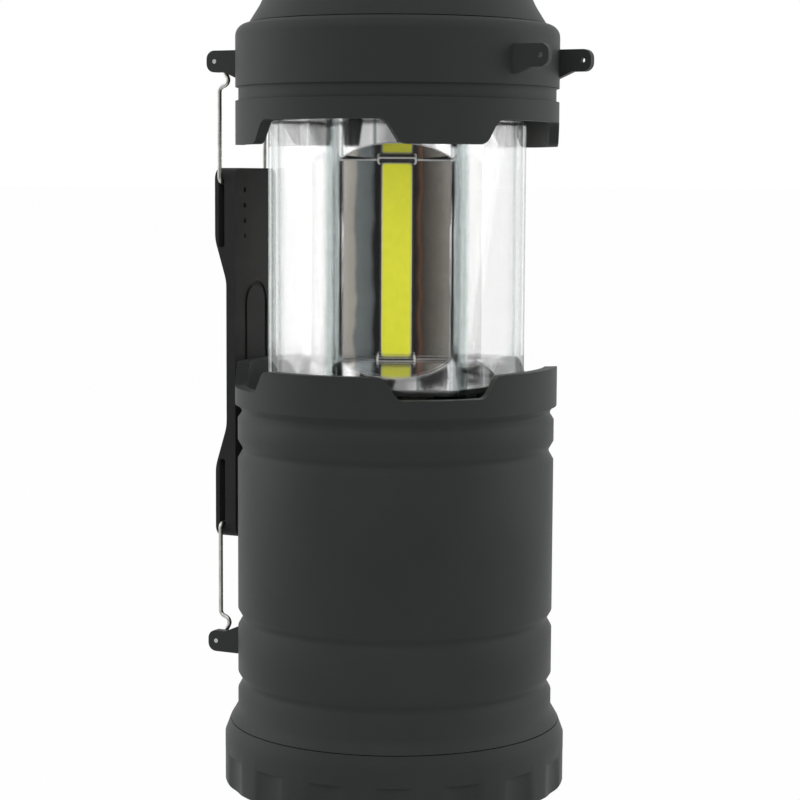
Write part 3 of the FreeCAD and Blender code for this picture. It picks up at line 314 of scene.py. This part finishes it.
def makeWing(step, side):
    bm = bmesh.new()
    layer = bm.verts.layers.float.new("across")
    row = []
    for n in range(wing["steps"] + 1):
        share = n / wing["steps"]
        y = side * (wing["inner"] + (trough["outer"] - wing["inner"]) * share)
        x = trough["face"] + trough["seat"] + trough["rise"] * share ** 2
        row.append(bm.verts.new((x * mm, y * mm, boardLow.z)))
        row[-1][layer] = 0.5 + 0.5 * y / trough["outer"]  # from 0 to 1 across the whole trough
    edges = [bm.edges.new(pair) for pair in zip(row, row[1:])]
    grown = bmesh.ops.extrude_edge_only(bm, edges=edges)["geom"]
    tops = [item for item in grown if isinstance(item, bmesh.types.BMVert)]
    bmesh.ops.translate(bm, verts=tops, vec=(0, 0, boardHigh.z - boardLow.z))
    bmesh.ops.recalc_face_normals(bm, faces=bm.faces)
    if sum(face.normal.x for face in bm.faces) < 0:
        bmesh.ops.reverse_faces(bm, faces=bm.faces)
    bmesh.ops.solidify(bm, geom=bm.faces[:], thickness=wing["wall"] * mm)
    bmesh.ops.recalc_face_normals(bm, faces=bm.faces)
    for face in bm.faces:
        face.smooth = True
    for edge in bm.edges:
        edge.smooth = edge.calc_face_angle(0) < math.radians(wing["creaseAngle"])
    turned(bm, step)
    # the wing's colour holds painted reflections
    newPiece("mirror_wing_%d_%s" % (step + 1, sideNames[side]), bm, "paintedReflectionPlating", "head")


# Bright bead along each long edge of a trough
bead = {"radius": 0.26, "sides": 16}


def makeBead(step, side):
    bm = bmesh.new()
    bmesh.ops.create_cone(bm, cap_ends=True, segments=bead["sides"], radius1=bead["radius"] * mm,
                          radius2=bead["radius"] * mm, depth=boardHigh.z - boardLow.z)
    for face in bm.faces:
        face.smooth = len(face.verts) == 4
    x = trough["face"] + trough["seat"] + trough["rise"]
    middle = (boardLow.z + boardHigh.z) / 2
    bmesh.ops.translate(bm, verts=bm.verts, vec=(x * mm, side * trough["outer"] * mm, middle))
    turned(bm, step)
    newPiece("trough_bead_%d_%s" % (step + 1, sideNames[side]), bm, "platedMirror", "head")


# Lens-shaped wire rim where the sloped end of a trough meets the column's round
lensRim = {"radius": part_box("reflector_column")[1].y / mm, "rise": 4.2, "gap": 0.4, "wire": 0.2,
           "steps": 28, "sides": 8}


def makeLensRim(step, end, crease, way):
    # a ring carried along the line where the slope cuts the round; way is up or down
    slope = way * lensRim["rise"] / (lensRim["radius"] - trough["face"])
    span = math.acos(trough["face"] / lensRim["radius"])
    places = []
    for n in range(lensRim["steps"] + 1):
        turn = span * (2 * n / lensRim["steps"] - 1)
        x, y = lensRim["radius"] * math.cos(turn), lensRim["radius"] * math.sin(turn)
        z = crease + way * lensRim["gap"] * mm + slope * (x - trough["face"]) * mm
        ahead = Vector((-y, x, -slope * y)).to_track_quat("Z", "Y")
        places.append(Matrix.Translation((x * mm, y * mm, z)) @ ahead.to_matrix().to_4x4())
    bm = bmesh.new()
    bmesh.ops.create_circle(bm, segments=lensRim["sides"], radius=lensRim["wire"] * mm,
                            matrix=places[0])
    edges = bm.edges[:]
    for last, place in zip(places, places[1:]):
        grown = bmesh.ops.extrude_edge_only(bm, edges=edges)["geom"]
        verts = [item for item in grown if isinstance(item, bmesh.types.BMVert)]
        edges = [item for item in grown if isinstance(item, bmesh.types.BMEdge)]
        bmesh.ops.transform(bm, matrix=place @ last.inverted(), verts=verts)
    bmesh.ops.holes_fill(bm, edges=bm.edges)
    bmesh.ops.recalc_face_normals(bm, faces=bm.faces)
    for face in bm.faces:
        face.smooth = len(face.verts) == 4
    turned(bm, step)
    newPiece("lens_rim_%d_%s" % (step + 1, end), bm, "platedMirror", "head")


# Light strip: yellow gel inside a pale dam; at each end a pale frame with a near-black sheet of
# painted shade in its slot
strip = {"back": -boardLow.y / mm, "front": -gelLow.y / mm, "width": 7.5, "curve": 0.9, "edge": 0.2,
         "damWidth": 8.1, "damOver": 0.3, "damBelow": 0.15}
clip = {"width": 10.4, "height": 2.1, "curve": 0.75, "edge": 0.12,
        "slotWidth": 9.3, "slotHeight": 1.1, "slotCurve": 0.3, "slotEdge": 0.05, "proud": 0.05}
tablet = {"curveSegments": 6, "edgeSegments": 3, "nearly": 1e-9}


def makeTablet(name, step, span, size, middle, rounds, finishName):
    # a flat tablet that faces out of its trough: rounded corners, then a small round on its front
    bm = bmesh.new()
    bmesh.ops.create_cube(bm, size=mm)
    bmesh.ops.scale(bm, verts=bm.verts, vec=(span[1] - span[0], *size))
    corners = [edge for edge in bm.edges
               if abs((edge.verts[0].co - edge.verts[1].co).x) > tablet["nearly"]]
    bmesh.ops.bevel(bm, geom=corners, offset=rounds[0] * mm, affect="EDGES",
                    segments=tablet["curveSegments"], profile=0.5, material=-1)
    front = max(vert.co.x for vert in bm.verts)
    brim = [edge for edge in bm.edges if len(edge.link_faces) == 2
            and all(front - vert.co.x < tablet["nearly"] for vert in edge.verts)]
    bmesh.ops.bevel(bm, geom=brim, offset=rounds[1] * mm, affect="EDGES",
                    segments=tablet["edgeSegments"], profile=0.5, material=-1)
    bmesh.ops.translate(bm, verts=bm.verts, vec=((span[0] + span[1]) / 2 * mm, 0, middle))
    turned(bm, step)
    return newPiece("%s_%d" % (name, step + 1), bm, finishName, "head")


def makeStrip(step):
    tall, middle = (gelHigh.z - gelLow.z) / mm, (gelLow.z + gelHigh.z) / 2
    rounds = (strip["curve"], strip["edge"])
    gel = makeTablet("phosphor_gel", step, (strip["back"], strip["front"]), (strip["width"], tall),
                     middle, rounds, "phosphorGel")
    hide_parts("cob_phosphor_%d" % (step + 1))
    makeTablet("strip_dam", step, (strip["back"], strip["front"] - strip["damBelow"]),
               (strip["damWidth"], tall + 2 * strip["damOver"]), middle, rounds, "paleDam")
    for end, height in (("lower", boardLow.z), ("upper", boardHigh.z)):
        makeTablet("clip_frame_" + end, step, (trough["face"], strip["back"]),
                   (clip["width"], clip["height"]), height, (clip["curve"], clip["edge"]),
                   "paleTrim")
        # painted shade: a near-black sheet just proud of the frame, where the slot's shade would
        # fall
        makeTablet("clip_slot_" + end, step, (trough["face"], strip["back"] + clip["proud"]),
                   (clip["slotWidth"], clip["slotHeight"]), height,
                   (clip["slotCurve"], clip["slotEdge"]), "paintedSlotShade")


for step in range(trough["count"]):
    for side in sideNames:
        makeWing(step, side)
        makeBead(step, side)
    makeLensRim(step, "lower", boardLow.z, -1)
    makeLensRim(step, "upper", boardHigh.z, 1)
    makeStrip(step)
print("light column dressed")

# Camera as the photo was taken: frame in pixels, place in mm, turns in degrees
camera = {"focalPixels": 2227, "frame": 800, "sensor": 36.0, "place": (1.1, -597, 163.4),
          "pitch": 5.74, "roll": 0.3, "clipStart": 10}
optics = bpy.data.cameras.new("camera")
optics.sensor_width = camera["sensor"]
optics.lens = camera["focalPixels"] * camera["sensor"] / camera["frame"]
optics.clip_start = camera["clipStart"] * mm
viewer = bpy.data.objects.new("camera", optics)
viewer.location = Vector(camera["place"]) * mm
aim = Euler((math.radians(90 - camera["pitch"]), 0, 0)).to_matrix()
viewer.rotation_euler = (aim @ Matrix.Rotation(math.radians(camera["roll"]), 3, "Z")).to_euler()
bpy.context.scene.collection.objects.link(viewer)
bpy.context.scene.camera = viewer

# Studio: the floor is in metres, fill is the level at which the world lights, and a flag dims the
# side towards the camera's stand, over a span of the floor in metres and of the sky's direction
floor = {"size": 60.0, "white": 0.985, "tone": "#f2f2f2", "flagSpan": (-0.15, -0.5)}
sky = {"fill": 0.30, "white": "#ffffff", "flagSpan": (-0.82, -0.94)}
flagLevel = 0.42


def flagged(tree, path, along, span):
    # full strength, and the flag's level on that side, where only mirrors see it
    front = addNode(tree, "ShaderNodeMapRange", links={"Value": along},
                    values={"From Min": span[0], "From Max": span[1]})
    mirrored = addNode(tree, "ShaderNodeMath", {"operation": "MINIMUM"}, {1: 1.0},
                       {0: path.outputs["Glossy Depth"]})
    dark = addNode(tree, "ShaderNodeMath", {"operation": "MULTIPLY"},
                   links={0: front.outputs["Result"], 1: mirrored.outputs[0]})
    return addNode(tree, "ShaderNodeMapRange", links={"Value": dark.outputs[0]},
                   values={"To Min": 1.0, "To Max": flagLevel}).outputs["Result"]


def seenBy(tree, path):
    # 1 for the eye, mirrors and clear walls, and 0 for what only lights
    total = path.outputs["Is Camera Ray"]
    for kind in ("Is Glossy Ray", "Is Transmission Ray"):
        total = addNode(tree, "ShaderNodeMath", {"operation": "ADD", "use_clamp": True},
                        links={0: total, 1: path.outputs[kind]}).outputs[0]
    return total


def alongDepth(tree, coordinates):
    # how far a place or a direction goes away from the camera's stand
    place = addNode(tree, "ShaderNodeTexCoord").outputs[coordinates]
    return addNode(tree, "ShaderNodeSeparateXYZ", links={"Vector": place}).outputs["Y"]


def makeFloorPaper():
    # matt white paper: plain white to the eye, and it still takes the object's shadow
    material = bpy.data.materials.new("paleFloor")
    material.use_nodes = True
    tree = material.node_tree
    tree.nodes.remove(tree.nodes["Principled BSDF"])
    path = addNode(tree, "ShaderNodeLightPath")
    share = addNode(tree, "ShaderNodeMath", {"operation": "MULTIPLY"}, {1: floor["white"]},
                    {0: seenBy(tree, path)})
    matte = addNode(tree, "ShaderNodeBsdfDiffuse", values={"Color": linear(floor["tone"])})
    strength = flagged(tree, path, alongDepth(tree, "Object"), floor["flagSpan"])
    glow = addNode(tree, "ShaderNodeEmission", values={"Color": linear(sky["white"])},
                   links={"Strength": strength})
    mix = addNode(tree, "ShaderNodeMixShader",
                  links={"Fac": share.outputs[0], 1: matte.outputs["BSDF"],
                         2: glow.outputs["Emission"]})
    tree.links.new(mix.outputs["Shader"], tree.nodes["Material Output"].inputs["Surface"])
    return material


bm = bmesh.new()
bmesh.ops.create_grid(bm, x_segments=1, y_segments=1, size=floor["size"] / 2)
mesh = bpy.data.meshes.new("floor")
bm.to_mesh(mesh)
bm.free()
mesh.materials.append(makeFloorPaper())
ground = bpy.data.objects.new("floor", mesh)
bpy.context.scene.collection.objects.link(ground)

# World: white where it is seen, a plain soft level where it lights
world = bpy.data.worlds.new("studio")
bpy.context.scene.world = world
world.use_nodes = True
tree = world.node_tree
path = addNode(tree, "ShaderNodeLightPath")
brightest = flagged(tree, path, alongDepth(tree, "Generated"), sky["flagSpan"])
level = addNode(tree, "ShaderNodeMapRange", values={"To Min": sky["fill"]},
                links={"Value": seenBy(tree, path), "To Max": brightest})
back = tree.nodes["Background"]
back.inputs["Color"].default_value = linear(sky["white"])
tree.links.new(level.outputs["Result"], back.inputs["Strength"])

# Soft boxes, in metres: one each side behind the object for its rims, a large one above the front
lamps = {
    "leftBox": dict(place=(-0.75, 0.15, 0.35), size=0.7, watts=1.7),
    "rightBox": dict(place=(0.75, 0.1, 0.35), size=0.7, watts=1.7),
    "frontBox": dict(place=(-0.25, -0.9, 0.9), size=0.9, watts=2.4),
}
lampAim = Vector((0, 0, 0.11))
for name, lamp in lamps.items():
    light = bpy.data.lights.new(name, "AREA")
    light.size = lamp["size"]
    light.energy = lamp["watts"]
    box = bpy.data.objects.new(name, light)
    box.location = lamp["place"]
    box.rotation_euler = (lampAim - box.location).to_track_quat("-Z", "Y").to_euler()
    bpy.context.scene.collection.objects.link(box)
bpy.context.scene.view_settings.view_transform = "Standard"
print("camera, floor and light")
